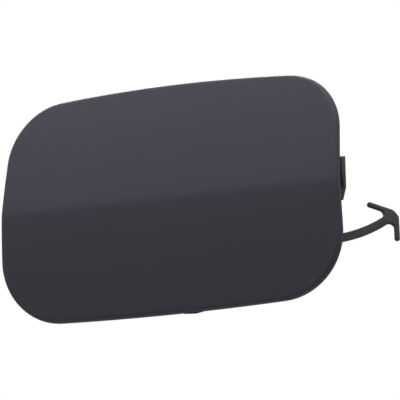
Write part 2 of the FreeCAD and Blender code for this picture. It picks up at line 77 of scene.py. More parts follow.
# a fillet as shares of its radius: how far a place lies out along the wall, and how far up from it
FILLET_ARC = ((1.0, 0.0), (0.5, 0.134), (0.134, 0.5), (0.0, 1.0))

# shares of the wall's thickness: rings down its edge, a rib's foot inside it, where the overspray ends
WALL_RINGS = (0.4, 0.75)
RIB_BURIED = 0.4
OVERSPRAY_END, OVERSPRAY_FADE = 1.05, 2.5
# an arm's rounded end as a share of half its width
ARM_END_ROUND = 1.05
# the gate: share of the spare wall in front of it, and share of its width before its highest place
GATE_SETBACK, GATE_CREST = 0.8, 0.62


# sizes and finishes that a user would change

def length(name, text, value):
    return FloatProperty(name=name, description=text, default=value * MM, unit="LENGTH", precision=5)


def angle(name, text, degrees):
    return FloatProperty(name=name, description=text, default=math.radians(degrees), subtype="ANGLE")


def share(name, text, value):
    return FloatProperty(name=name, description=text, default=value, min=0.0, max=1.0, subtype="FACTOR")


def watts(name, text, value):
    return FloatProperty(name=name, description=text, default=value, unit="POWER")


def colour(name, text, value):
    return FloatVectorProperty(name=name, description=text, default=value, size=3, min=0.0, max=1.0,
                               subtype="COLOR_GAMMA")


class PanelSizes(bpy.types.PropertyGroup):
    """The show panel's outline, crown and wall"""

    half_width: length("Half width", "Half of the panel's greatest width", 62.7)
    widest_drop: length("Widest drop", "How far below the crease the panel is widest", 23.3)
    side_radius: length("Side radius", "Bow of the left and right edges", 627)
    top_height: length("Top height", "Crease to the top of the upper edge", 38.2)
    top_radius: length("Top radius", "Bow of the upper edge", 565)
    bottom_depth: length("Bottom depth", "Crease to the bottom of the lower edge", 39.6)
    bottom_radius: length("Bottom radius", "Bow of the lower edge", 1212)
    upper_corner: length("Upper corner", "Radius of the two upper corners", 20.8)
    lower_corner: length("Lower corner", "Radius of the two lower corners", 22.5)
    wall: length("Wall", "Thickness of the moulded wall", 2.5)
    crown_radius: length("Crown radius", "Crown from side to side", 900)
    facet_radius: length("Facet radius", "Bow of each facet from top to bottom", 400)
    crease_radius: length("Crease radius", "Soft radius between the two facets", 16)
    upper_lean: angle("Upper lean", "Lean of the upper facet at the crease", 23.05)
    lower_lean: angle("Lower lean", "Lean of the lower facet at the crease", 11.7)
    rim_round: length("Rim round", "Rolled edge of the show face", 1.6)
    rear_round: length("Rear round", "Broken edge at the rear of the wall", 0.3)


class RibSizes(bpy.types.PropertyGroup):
    """The locating rib and the stiffening ribs"""

    rib_inset: length("Rib inset", "Panel edge to the outside of the locating rib", 5)
    rib_thickness: length("Rib thickness", "Locating rib", 1.6)
    rib_height: length("Rib height", "Locating rib above the inside of the wall", 4.5)
    rib_clearance: length("Rib clearance", "Gap between the locating rib and a clip", 1.5)
    web_thickness: length("Web thickness", "Stiffening ribs", 1.2)
    web_height: length("Web height", "Stiffening ribs above the inside of the wall", 2.8)
    web_pitch: length("Web pitch", "Upright stiffening ribs from the middle", 24)
    web_high: length("Web high", "Upper level rib above the crease", 17)
    web_low: length("Web low", "Lower level rib below the crease", 18)
    root_flare: length("Root flare", "Fillet where a rib or clip leaves the wall", 0.55)
    tip_round: length("Tip round", "Rounded crest of a rib", 0.3)
    rib_draft: length("Rib draft", "How much a rib narrows each side towards its crest", 0.05)
    upright_short: length("Upright short", "How far upright ribs stop short of the locating rib", 1)
    level_short: length("Level short", "How far level ribs stop short of the locating rib", 1.5)
    mark_radius: length("Mark radius", "Witness mark of an ejector pin", 2.4)
    mark_proud: length("Mark proud", "How far a pin's witness mark stands off the wall", 0.16)


class ClipSizes(bpy.types.PropertyGroup):
    """Side clips, top clips and bottom tongues"""

    clip_inset: length("Clip inset", "Panel edge to the outside of a side clip", 5.6)
    clip_plate: length("Clip plate", "Side clip plate thickness", 2)
    clip_top: length("Clip top", "Top of a side clip above the crease", 7.3)
    clip_foot: length("Clip foot", "Foot of a side clip below the crease", 7.5)
    clip_reach: length("Clip reach", "Rear end of a side clip at its top", 26.2)
    clip_slant: length("Clip slant", "How much sooner the plate ends at its bevel", 2.4)
    clip_bevel: length("Clip bevel", "Bevel at the plate's lower rear corner", 4.3)
    clip_catch: length("Clip catch", "Catch face of a side barb", 15.5)
    barb_height: length("Barb height", "How far a side barb stands out", 2.2)
    barb_land: length("Barb land", "Flat tip of a barb", 1.2)
    gusset_thickness: length("Gusset thickness", "Gussets that brace a side clip", 1.2)
    gusset_run: length("Gusset run", "How far a gusset runs inward from the plate", 4.8)
    gusset_reach: length("Gusset reach", "Rear end of a gusset along the plate", 12)
    gusset_inset: length("Gusset inset", "Edge of the plate to the middle of a gusset", 3)
    lip_inset: length("Top clip inset", "Panel edge to the outside of a top clip", 5.4)
    lip_plate: length("Tab plate", "Thickness of top clips and bottom tongues", 1.8)
    lip_spacing: length("Top clip spacing", "Top clips from the middle", 22)
    lip_width: length("Top clip width", "Width of a top clip", 10)
    lip_catch: length("Top clip catch", "Catch face of a top clip", 27)
    lip_reach: length("Top clip reach", "Rear end of a top clip", 36)
    lip_barb: length("Top clip barb", "How far a top barb stands up", 2)
    tongue_inset: length("Tongue inset", "Panel edge to the outside of a tongue", 4.6)
    tongue_spacing: length("Tongue spacing", "Bottom tongues from the middle", 24)
    tongue_width: length("Tongue width", "Width of a bottom tongue", 12)
    tongue_catch: length("Tongue catch", "Catch face of a bottom tongue", 6)
    tongue_reach: length("Tongue reach", "Rear end of a bottom tongue", 13)
    tongue_hook: length("Tongue hook", "How far a tongue's hook stands down", 2)
    edge_round: length("Edge round", "Broken edges of clips and tongues", 0.25)


class TetherSizes(bpy.types.PropertyGroup):
    """The flat strap, its two-armed anchor and the trimmed gate"""

    swing: angle("Swing", "Turn of the strap from +X towards +Y", 57.5)
    rise: angle("Rise", "Climb of the strap", 20.4)
    twist: angle("Twist", "Turn of the strap about its own run", 28.7)
    out: length("Out", "Nose of the anchor beyond the panel edge", 9.15)
    back: length("Back", "Nose of the anchor behind the crease", 27.6)
    drop: length("Drop", "Nose of the anchor below the crease", 14.4)
    strap_width: length("Strap width", "Width of the flat strap", 2.8)
    strap_thickness: length("Strap thickness", "Thickness of strap and anchor", 1.6)
    strap_plain: length("Strap plain", "Straight run of the strap ahead of the anchor", 0.6)
    strap_bow: length("Strap bow", "Radius that the strap then curves to", 55)
    strap_length: length("Strap length", "Anchor's nose to the strap's buried root", 38)
    arm_width: length("Arm width", "Width of an anchor arm", 1.9)
    arm_back: length("Arm back", "How far an arm's end lies behind the nose", 5.5)
    arm_side: length("Arm side", "How far an arm's end lies beside the strap", 7.65)
    nose_side: length("Nose side", "Half of the anchor's blunt nose", 0.93)
    nose_round: length("Nose round", "Rounded corners of the anchor's nose", 2.5)
    armpit_radius: length("Armpit radius", "Fillet between strap and arm", 1.4)
    strap_round: length("Strap round", "Rounded edges of the flat strap", 0.3)
    arm_round: length("Arm round", "Rounded edges of the anchor's arms, nearly rods", 0.72)
    gate_place: length("Gate place", "Middle of the gate from the middle of the panel", 8.2)
    gate_width: length("Gate width", "Width of the gate", 7)
    gate_thickness: length("Gate thickness", "Thickness of the gate", 1.3)
    gate_proud: length("Gate proud", "What is left standing after trimming", 0.4)
    gate_torn: length("Gate torn", "What stands at the end that the cutter met first", 0.15)
    gate_round: length("Gate round", "Broken edges of the gate", 0.08)


class Finishes(bpy.types.PropertyGroup):
    """Colours and gloss of the primer and of the raw moulding"""

    primer: colour("Primer", "Colour of the primed show side", (0.27, 0.261, 0.294))
    raw: colour("Raw plastic", "Colour of the bare moulding", (0.275, 0.275, 0.275))
    primer_roughness: share("Primer roughness", "How matt the primer is", 0.52)
    raw_roughness: share("Raw roughness", "How matt the bare moulding is", 0.8)
    primer_gloss: share("Primer gloss", "Strength of the primer's reflections", 0.07)
    raw_gloss: share("Raw gloss", "Strength of the bare moulding's reflections", 0.05)
    primer_grain: length("Primer grain", "Size of the primer's fine grain", 0.28)
    raw_grain: length("Moulding grain", "Size of the mould's spark-eroded grain", 0.22)


class StudioSettings(bpy.types.PropertyGroup):
    """Camera, floor and lamps"""

    azimuth: angle("Azimuth", "Camera's turn round the cover", 22)
    roll: angle("Roll", "Camera's roll", 6.39)
    distance: length("Distance", "Camera to the cover", 1500)
    frame_width: length("Frame width", "Width of the view at the cover", 135.52)
    origin_left: length("Origin left", "Cover's origin left of the view's middle", 12.254)
    origin_up: length("Origin up", "Cover's origin above the view's middle", 0.722)
    floor_drop: length("Floor drop", "Floor below the crease", 200)
    top_watts: watts("Top lamp", "Soft lamp above the cover", 2.85)
    left_watts: watts("Left lamp", "Soft lamp up on the left", 1.7)
    right_watts: watts("Right lamp", "Soft lamp up on the right", 1.0)
    rear_watts: watts("Rear lamp", "Soft lamp up behind", 9.0)
    world_light: share("World light", "Even light from all round", 0.03)


# the crowned form and the outline, shared by every piece

def crossing(c0, r0, c1, r1, score):
    """The crossing of two circles that scores highest."""
    dx, dy = c1[0] - c0[0], c1[1] - c0[1]
    d = math.hypot(dx, dy)
    a = (r0 * r0 - r1 * r1 + d * d) / (2 * d)
    q = math.sqrt(max(r0 * r0 - a * a, 0.0))
    mx, my = c0[0] + a * dx / d, c0[1] + a * dy / d
    return max([(mx - q * dy / d, my + q * dx / d), (mx + q * dy / d, my - q * dx / d)], key=score)


class Form:
    """Depth of the crowned wall at any place, and the panel's outline."""

    ARC_STEPS = {"edge": 88, "side": 40, "corner": 40}

    def __init__(self, sizes):
        s = self.s = sizes
        self.upper = s.facet_radius * math.cos(s.upper_lean), -s.facet_radius * math.sin(s.upper_lean)
        self.lower = s.facet_radius * math.cos(s.lower_lean), -s.facet_radius * math.sin(s.lower_lean)
        inner = s.facet_radius - s.crease_radius
        self.turn = crossing(self.lower, inner, self.upper, inner, lambda p: -p[0])

    def depth(self, x, z, offset=0.0):
        """How far behind the crease the wall lies at x, z, an offset below the show face."""
        s = self.s
        big, small = s.facet_radius - offset, s.crease_radius - offset
        reach = big / (s.facet_radius - s.crease_radius)
        ty, tz = self.turn
        low_end = self.lower[1] + (tz - self.lower[1]) * reach
        high_end = self.upper[1] + (tz - self.upper[1]) * reach
        if low_end < z < high_end and abs(z - tz) < small:
            y = ty - math.sqrt(small ** 2 - (z - tz) ** 2)
        else:
            cy, cz = self.upper if z > (low_end + high_end) / 2 else self.lower
            y = cy - math.sqrt(big ** 2 - (z - cz) ** 2)
        return s.crown_radius - math.sqrt((s.crown_radius - y) ** 2 - x * x)

    def place(self, x, z, offset=0.0):
        return Vector((x, self.depth(x, z, offset), z))

    def outline(self, steps=1.0):
        """Points round the edge and their outward directions, anticlockwise from the lower left corner."""
        s = self.s
        right = s.half_width - s.side_radius, -s.widest_drop
        left = -right[0], right[1]
        top, bottom = (0.0, s.top_height - s.top_radius), (0.0, s.bottom_radius - s.bottom_depth)
        side, up, low = s.side_radius, s.upper_corner, s.lower_corner
        tr = crossing(right, side - up, top, s.top_radius - up, lambda p: p[0] + p[1])
        br = crossing(right, side - low, bottom, s.bottom_radius - low, lambda p: p[0] - p[1])
        tl, bl = (-tr[0], tr[1]), (-br[0], br[1])
        arcs = [
            ("corner", bl, low, left, bottom), ("edge", bottom, s.bottom_radius, bl, br),
            ("corner", br, low, bottom, right), ("side", right, side, br, tr),
            ("corner", tr, up, right, top), ("edge", top, s.top_radius, tr, tl),
            ("corner", tl, up, top, left), ("side", left, side, tl, bl),
        ]
        found = []
        for kind, centre, radius, before, after in arcs:
            if kind == "corner":
                ends = [math.atan2(centre[1] - c[1], centre[0] - c[0]) for c in (before, after)]
            else:
                ends = [math.atan2(c[1] - centre[1], c[0] - centre[0]) for c in (before, after)]
            while ends[1] < ends[0]:
                ends[1] += math.tau
            count = round(self.ARC_STEPS[kind] * steps)
            for k in range(count):
                a = ends[0] + (ends[1] - ends[0]) * k / count
                out = Vector((math.cos(a), math.sin(a)))
                found.append((Vector(centre) + out * radius, out))
        half = round(self.ARC_STEPS["corner"] * steps) // 2
        return found[half:] + found[:half]


# modelling helpers

def start(add, name, **settings):
    """Add one primitive with nothing else selected, and name it."""
    bpy.ops.object.select_all(action="DESELECT")
    add(**settings)
    piece = bpy.context.object
    piece.name = piece.data.name = name
    return piece


def pick(*pieces):
    bpy.ops.object.select_all(action="DESELECT")
    for piece in pieces:
        piece.select_set(True)
    bpy.context.view_layer.objects.active = pieces[0]


def set_corners(piece, places):
    for corner, place in zip(piece.data.vertices, places):
        corner.co = place
    piece.data.update()


class Shaping:
    """Edit mode on one piece, where order tells each selected corner's number by its place."""

    def __init__(self, piece):
        self.piece = piece

    def __enter__(self):
        pick(self.piece)
        bpy.ops.object.mode_set(mode="EDIT")
        self.mesh = bmesh.from_edit_mesh(self.piece.data)
        self.order = {tuple(v.co): i for i, v in enumerate(self.mesh.verts)}
        return self

    def __exit__(self, *_):
        bpy.ops.object.mode_set(mode="OBJECT")

    def extrude_to(self, places):
        """Extrude what is selected and put each new corner at its own place."""
        bpy.ops.mesh.extrude_region_move()
        self.mesh = bmesh.from_edit_mesh(self.piece.data)
        moved = [(self.order[tuple(v.co)], v) for v in self.mesh.verts if v.select]
        placed = {}
        for i, v in moved:
            v.co = places[i]
            placed[tuple(v.co)] = i
        self.order = placed
        bmesh.update_edit_mesh(self.piece.data)


def loft(name, sections):
    """A closed form through sections of equal count: a filled ring extruded from each to the next."""
    piece = start(bpy.ops.mesh.primitive_circle_add, name, vertices=len(sections[0]), radius=MM,
                  fill_type="NGON")
    set_corners(piece, sections[0])
    with Shaping(piece) as shaping:
        bpy.ops.mesh.select_all(action="SELECT")
        for section in sections[1:]:
            shaping.extrude_to(section)
        bpy.ops.mesh.select_all(action="SELECT")
        bpy.ops.mesh.normals_make_consistent(inside=False)
    return piece


def prism(name, corners, across, thickness):
    """A flat outline extruded across itself by a thickness."""
    far = [c + across * thickness for c in corners]
    return loft(name, [corners, far])


def settle(gap, near, far):
    """Where a gap that shrinks from near to far closes."""
    if not gap(near) > 0 > gap(far):
        raise RuntimeError("a strap or brace doesn't reach the wall")
    for _ in range(40):
        middle = (near + far) / 2
        near, far = (middle, far) if gap(middle) > 0 else (near, middle)
    return near


def join_as(name, parts):
    """Separate parts of one group, joined under one name."""
    pick(*parts)
    bpy.ops.object.join()
    piece = bpy.context.object
    piece.name = piece.data.name = name
    return piece


def apply_modifier(piece, kind, **settings):
    pick(piece)
    modifier = piece.modifiers.new(kind.title(), kind)
    for key, value in settings.items():
        setattr(modifier, key, value)
    bpy.ops.object.modifier_apply(modifier=modifier.name)


def join_solid(piece, other):
    """One closed shell from two that cross."""
    apply_modifier(piece, "BOOLEAN", operation="UNION", solver="EXACT", object=other)
    bpy.data.objects.remove(other)


def break_edges(piece, width, segments=2, over=35):
    apply_modifier(piece, "BEVEL", width=width, segments=segments, limit_method="ANGLE",
                   angle_limit=math.radians(over), use_clamp_overlap=True)


def shade(piece, degrees=35):
    pick(piece)
    bpy.ops.object.shade_smooth_by_angle(angle=math.radians(degrees))


def mirror_twin(piece, name):
    """A copy with its own mesh, mirrored to the left half."""
    pick(piece)
    bpy.ops.object.duplicate()
    twin = bpy.context.object
    twin.name = twin.data.name = name
    with Shaping(twin):
        bpy.ops.mesh.select_all(action="SELECT")
        bpy.ops.transform.mirror(constraint_axis=(True, False, False), center_override=(0, 0, 0))
        bpy.ops.mesh.normals_make_consistent(inside=False)
    return twin


def fit_out(piece, finish):
    """Finish, slot and body for a piece; each finish is made once."""
    piece.data.materials.clear()
    piece.data.materials.append(bpy.data.materials.get(finish) or moulding_finish(finish))
    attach(piece, BODY)


def fit_out_pair(piece, twin_name):
    """A bare piece on the right, and its mirrored twin."""
    fit_out(piece, RAW)
    fit_out(mirror_twin(piece, twin_name), RAW)


# finishes

def linear(values):
    """A colour as written on a swatch, for a shader's socket."""
    return [v / 12.92 if v <= 0.04045 else ((v + 0.055) / 1.055) ** 2.4 for v in values] + [1.0]


class Nodes:
    """A material's node tree, with short calls to add and link nodes."""

    def __init__(self, name):
        self.material = bpy.data.materials.new(name)
        self.material.use_nodes = True
        self.tree = self.material.node_tree
        self.shader = self.tree.nodes["Principled BSDF"]
        self.tree.nodes.remove(self.tree.nodes["Material Output"])
        self.output = self.add("ShaderNodeOutputMaterial", Surface=self.shader.outputs[0])
        self.place = self.add("ShaderNodeTexCoord").outputs["Object"]

    def add(self, kind, settings=None, **inputs):
        node = self.tree.nodes.new(kind)
        for key, value in (settings or {}).items():
            setattr(node, key, value)
        for key, value in inputs.items():
            self.feed(node.inputs[key.replace("_", " ")], value)
        return node

    def feed(self, socket, value):
        if isinstance(value, bpy.types.NodeSocket):
            self.tree.links.new(value, socket)
        else:
            socket.default_value = value

    def noise(self, grain, detail=2.0, roughness=0.5, stretch=(1, 1, 1)):
        """Noise whose features are about one grain wide."""
        mapping = self.add("ShaderNodeMapping", Vector=self.place, Scale=stretch)
        return self.add("ShaderNodeTexNoise", Vector=mapping.outputs[0], Scale=1.0 / grain, Detail=detail,
                        Roughness=roughness).outputs["Fac"]

    def spread(self, value, low, high, to_low=0.0, to_high=1.0):
        node = self.add("ShaderNodeMapRange", {"interpolation_type": "SMOOTHSTEP"})
        for key, number in (("Value", value), ("From Min", low), ("From Max", high), ("To Min", to_low),
                            ("To Max", to_high)):
            self.feed(node.inputs[key], number)
        return node.outputs[0]

    def maths(self, operation, a, b):
        node = self.add("ShaderNodeMath", {"operation": operation})
        self.feed(node.inputs[0], a)
        self.feed(node.inputs[1], b)
        return node.outputs[0]

    def blend(self, factor, a, b):
        node = self.add("ShaderNodeMix", {"data_type": "RGBA"})
        self.feed(node.inputs["Factor"], factor)
        self.feed(node.inputs[6], a)
        self.feed(node.inputs[7], b)
        return node.outputs[2]

    def mix_numbers(self, factor, a, b):
        node = self.add("ShaderNodeMix", {"data_type": "FLOAT"})
        for index, value in ((0, factor), (2, a), (3, b)):
            self.feed(node.inputs[index], value)
        return node.outputs[0]


def shaded(rgba, factor):
    return [c * factor for c in rgba[:3]] + [1.0]


def seen_by_eye(tree):
    """1 for rays from the camera, also by gloss or glass, and 0 where a surface lights another."""
    path = tree.nodes.new("ShaderNodeLightPath")
    seen = path.outputs["Is Camera Ray"]
    for way in ("Is Glossy Ray", "Is Transmission Ray"):
        either = tree.nodes.new("ShaderNodeMath")
        either.operation = "MAXIMUM"
        tree.links.new(seen, either.inputs[0])
        tree.links.new(path.outputs[way], either.inputs[1])
        seen = either.outputs[0]
    return seen


def moulding_finish(name):
    """Bare black plastic with a spark-eroded grain; primed, with the show side's coat and its overspray."""
    f = bpy.context.scene.cover_finishes
    n = Nodes(name)
    raw, primer = linear(f.raw), linear(f.primer)
    grain = n.noise(f.raw_grain, 2.0, 0.6)
    flow = n.noise(5 * MM, 4.0, 0.6, (1, 1, 0.35))
    pits = n.noise(2.5 * f.raw_grain, 2.0, 0.6)
    flowed = n.blend(n.spread(flow, 0.35, 0.7), shaded(raw, 0.85), shaded(raw, 1.15))
    pitted = n.blend(n.spread(pits, 0.3, 0.7), shaded(raw, 0.6), shaded(raw, 1.45))
    bare = n.blend(0.5, flowed, pitted)
    bare_rough = n.spread(grain, 0.3, 0.7, f.raw_roughness - 0.05, f.raw_roughness + 0.07)
    if name == PRIMED:
        coat = n.add("ShaderNodeAttribute", {"attribute_name": "coat"}).outputs["Fac"]
        mist = n.noise(0.35 * MM, 2.0, 0.7)
        drift = n.noise(6 * MM, 2.0)
        ragged = n.maths("ADD", n.spread(mist, 0.2, 0.8, -0.25, 0.25), n.spread(drift, 0.2, 0.8, -0.15, 0.15))
        mask = n.spread(n.maths("ADD", coat, ragged), 0.35, 0.65)
        fine = n.noise(f.primer_grain, 3.0, 0.55)
        cloud = n.noise(14 * MM, 3.0)
        skin = n.blend(n.spread(cloud, 0.3, 0.7), shaded(primer, 0.975), shaded(primer, 1.025))
        speck = n.blend(n.spread(fine, 0.25, 0.75), shaded(primer, 0.95), shaded(primer, 1.06))
        coated = n.blend(0.5, skin, speck)
        coated_rough = n.spread(fine, 0.3, 0.7, f.primer_roughness - 0.04, f.primer_roughness + 0.04)
        colour_out, rough_out = n.blend(mask, bare, coated), n.mix_numbers(mask, bare_rough, coated_rough)
        ripple = n.noise(1.4 * MM, 1.0)
        height = n.mix_numbers(mask, grain, n.mix_numbers(0.5, fine, ripple))
        relief, gloss = 0.012 * MM, f.primer_gloss
    else:
        colour_out, rough_out, height = bare, bare_rough, grain
        relief, gloss = 0.02 * MM, f.raw_gloss
    bump = n.add("ShaderNodeBump", Height=height, Distance=relief, Strength=0.8)
    for key, value in (("Base Color", colour_out), ("Roughness", rough_out), ("Specular IOR Level", gloss),
                       ("Normal", bump.outputs[0])):
        n.feed(n.shader.inputs[key], value)
    return n.material


# show panel

def coons(boundary, columns, rows):
    """Places of a grid inside a closed boundary that starts at its lower left and runs anticlockwise."""
    lower = boundary[:columns + 1]
    right = boundary[columns:columns + rows + 1]
    upper = boundary[columns + rows:2 * columns + rows + 1][::-1]
    left = (boundary[2 * columns + rows:] + boundary[:1])[::-1]
    places = []
    for j in range(rows + 1):
        v = j / rows
        for i in range(columns + 1):
            u = i / columns
            across = left[j] * (1 - u) + right[j] * u
            along = lower[i] * (1 - v) + upper[i] * v
            corner_low = lower[0] * (1 - u) + lower[-1] * u
            corner_high = upper[0] * (1 - u) + upper[-1] * u
            places.append(across + along - (corner_low * (1 - v) + corner_high * v))
    return places


def rim_rings(form, edge):
    """Rings of places from the show face round the rolled edge and down the wall to the rear."""
    s = form.s
    probe = 0.5 * MM
    turns = []
    for point, out in edge:
        y0 = form.depth(*point)
        inside = point - out * probe
        slope = (y0 - form.depth(*inside)) / probe
        stretch = math.sqrt(1 + slope * slope)
        centre = y0 + s.rim_round * (stretch - slope)
        turns.append((point, out, math.atan2(-1 / stretch, slope / stretch), centre))
    rings = []
    for k in range(RIM_STEPS + 1):
        ring = []
        for point, out, first, centre in turns:
            a = first * (1 - k / RIM_STEPS)
            place = point + out * (s.rim_round * (math.cos(a) - 1))
            depth = form.depth(*place) if k == 0 else centre + s.rim_round * math.sin(a)
            ring.append(Vector((place.x, depth, place.y)))
        rings.append(ring)
    soft = s.rear_round
    for part in WALL_RINGS:
        rings.append([Vector((p.x, c + (form.depth(p.x, p.y, s.wall) - soft - c) * part, p.y))
                      for p, _, _, c in turns])
    for draw, lift in CORNER_ARC:
        ring = []
        for point, out, _, _ in turns:
            place = point - out * soft * draw
            ring.append(Vector((place.x, form.depth(place.x, place.y, s.wall) - soft * lift, place.y)))
        rings.append(ring)
    return rings


def grid_skin(name, form, boundary, columns, rows, offset):
    """A grid stretched inside a boundary, at an offset below the show face."""
    flat = [Vector((p.x, p.z)) for p in boundary]
    piece = start(bpy.ops.mesh.primitive_grid_add, name, x_subdivisions=columns, y_subdivisions=rows, size=MM)
    places = [form.place(p.x, p.y, offset) for p in coons(flat, columns, rows)]
    set_corners(piece, places)
    return piece


def mark_coat(piece, form):
    """Where the primer lies: all of the show face and rolled edge, thinning out down the wall."""
    coat = piece.data.attributes.new("coat", "FLOAT", "POINT")
    for corner, mark in zip(piece.data.vertices, coat.data):
        x, y, z = corner.co
        behind = (y - form.depth(x, z)) / form.s.wall
        mark.value = min(1.0, max(0.0, (OVERSPRAY_END - behind) * OVERSPRAY_FADE))


class COVER_OT_show_panel(bpy.types.Operator):
    """Model the crowned show panel with its rolled edge"""

    bl_idname = "cover.show_panel"
    bl_label = "Show Panel"

    def execute(self, context):
        form = Form(context.scene.cover_panel)
        steps = form.ARC_STEPS
        columns, rows = steps["edge"] + steps["corner"], steps["side"] + steps["corner"]
        rings = rim_rings(form, form.outline())
        panel = grid_skin("show_panel", form, rings[0], columns, rows, 0.0)
        numbers = range(len(rings[0]))
        with Shaping(panel) as shaping:
            bpy.ops.mesh.select_all(action="SELECT")
            bpy.ops.mesh.region_to_loop()
            edge = [v.co for v in bmesh.from_edit_mesh(panel.data).verts if v.select]
            shaping.order = {tuple(p): min(numbers, key=lambda i: (rings[0][i] - p).length_squared)
                             for p in edge}
            if len(set(shaping.order.values())) != len(numbers):
                raise RuntimeError("the show face's edge doesn't match its rim")
            for ring in rings[1:]:
                shaping.extrude_to(ring)
        rear = grid_skin("panel_rear", form, rings[-1], columns, rows, form.s.wall)
        pick(panel, rear)
        bpy.ops.object.join()
        with Shaping(panel):
            bpy.ops.mesh.select_all(action="SELECT")
            bpy.ops.mesh.remove_doubles(threshold=WELD)
            bpy.ops.mesh.normals_make_consistent(inside=False)
        mark_coat(panel, form)
        pick(panel)
        bpy.ops.object.shade_smooth()
        fit_out(panel, PRIMED)
        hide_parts(NODE)
        return {"FINISHED"}


# ribs

def rib_section(form, ribs, x, z, across, thickness, height):
    """Section of a rib at x, z: rounded crest, slight draft, and a fillet each side on the wall."""
    flare, crest, half = ribs.root_flare, ribs.tip_round, thickness / 2
    side = [(half + flare, -RIB_BURIED * form.s.wall)]
    side += [(half + flare * along, flare * up) for along, up in FILLET_ARC]
    side += [(half - ribs.rib_draft - crest * draw, height - crest * lift) for draw, lift in CORNER_ARC]
    profile = side + [(-u, v) for u, v in reversed(side)]
    return [form.place(x + across[0] * u, z + across[1] * u, form.s.wall + v) for u, v in profile]


def run_between(a, b, step):
    count = max(2, round((b - a).length / step))
    return [a.lerp(b, k / count) for k in range(count + 1)]


class COVER_OT_locating_rib(bpy.types.Operator):
    """Model the locating rib, which follows the outline and stops short of every clip"""

    bl_idname = "cover.locating_rib"
    bl_label = "Locating Rib"

    def execute(self, context):
        form, ribs = Form(context.scene.cover_panel), context.scene.cover_ribs
        clips, clear = context.scene.cover_clips, ribs.rib_clearance
        middle = ribs.rib_inset + ribs.rib_thickness / 2

        def blocked(p):
            """Whether a clip or tongue needs this place."""
            if -clips.clip_foot - clear < p.y < clips.clip_top + clear:
                return True
            spacing, width = clips.tongue_spacing, clips.tongue_width
            if p.y > 0:
                spacing, width = clips.lip_spacing, clips.lip_width
            return abs(abs(p.x) - spacing) < width / 2 + clear and abs(p.y) > form.s.top_height / 2

        line = [(p - out * middle, out) for p, out in form.outline(RIB_FINER)]
        first = next(i for i in range(len(line)) if blocked(line[i - 1][0]) and not blocked(line[i][0]))
        parts = []
        for taken, run in groupby(line[first:] + line[:first], lambda step: blocked(step[0])):
            if taken:
                continue
            run = list(run)
            sections = [rib_section(form, ribs, p.x, p.y, out, ribs.rib_thickness, ribs.rib_height)
                        for p, out in run[:-1:RIB_FINER] + run[-1:]]
            parts.append(loft("rib_run", sections))
        rib = join_as("locating_rib", parts)
        shade(rib)
        fit_out(rib, RAW)
        return {"FINISHED"}


class COVER_OT_stiffeners(bpy.types.Operator):
    """Model the upright and level stiffening ribs"""

    bl_idname = "cover.stiffeners"
    bl_label = "Stiffening Ribs"

    def execute(self, context):
        form, ribs = Form(context.scene.cover_panel), context.scene.cover_ribs
        s = form.s
        middle = ribs.rib_inset + ribs.rib_thickness / 2
        top = s.top_height - middle - ribs.upright_short
        bottom = middle + ribs.upright_short - s.bottom_depth
        end = s.half_width - middle - ribs.level_short
        runs = []
        for x in (ribs.web_pitch, -ribs.web_pitch):
            runs.append((run_between(Vector((x, bottom)), Vector((x, top)), UPRIGHT_STEP), (1, 0)))
        for z in (ribs.web_high, -ribs.web_low):
            runs.append((run_between(Vector((-end, z)), Vector((end, z)), LEVEL_STEP), (0, 1)))
        parts = []
        for places, across in runs:
            sections = [rib_section(form, ribs, p.x, p.y, across, ribs.web_thickness, ribs.web_height)
                        for p in places]
            parts.append(loft("web", sections))
        webs = join_as("stiffening_ribs", parts)
        shade(webs)
        fit_out(webs, RAW)
        return {"FINISHED"}


class COVER_OT_ejector_marks(bpy.types.Operator):
    """Model the witness marks of the ejector pins, one in each bay between the stiffening ribs"""

    bl_idname = "cover.ejector_marks"
    bl_label = "Ejector Marks"

    def execute(self, context):
        form, ribs = Form(context.scene.cover_panel), context.scene.cover_ribs
        s = form.s
        edge = ribs.rib_inset + ribs.rib_thickness
        columns = [side * (ribs.web_pitch + s.half_width - edge) / 2 for side in (-1, 0, 1)]
        rows = [(ribs.web_high + s.top_height - edge) / 2, (ribs.web_high - ribs.web_low) / 2,
                -(ribs.web_low + s.bottom_depth - edge) / 2]
        radius, proud = ribs.mark_radius, ribs.mark_proud
        rings = (radius, -0.2 * MM), (radius, 0.5 * proud), (0.97 * radius, proud), (0.8 * radius, proud)
        turns = [math.tau * k / MARK_STEPS for k in range(MARK_STEPS)]
        parts = []
        for x in columns:
            for z in rows:
                sections = [[form.place(x + wide * math.cos(a), z + wide * math.sin(a), s.wall + off)
                             for a in turns] for wide, off in rings]
                parts.append(loft("mark", sections))
        marks = join_as("ejector_marks", parts)
        shade(marks, 50)
        fit_out(marks, RAW)
        return {"FINISHED"}


# clips

def buried(form, x, z):
    """A depth inside the wall, where a clip's plate starts."""
    return form.depth(x, z, form.s.wall / 2)


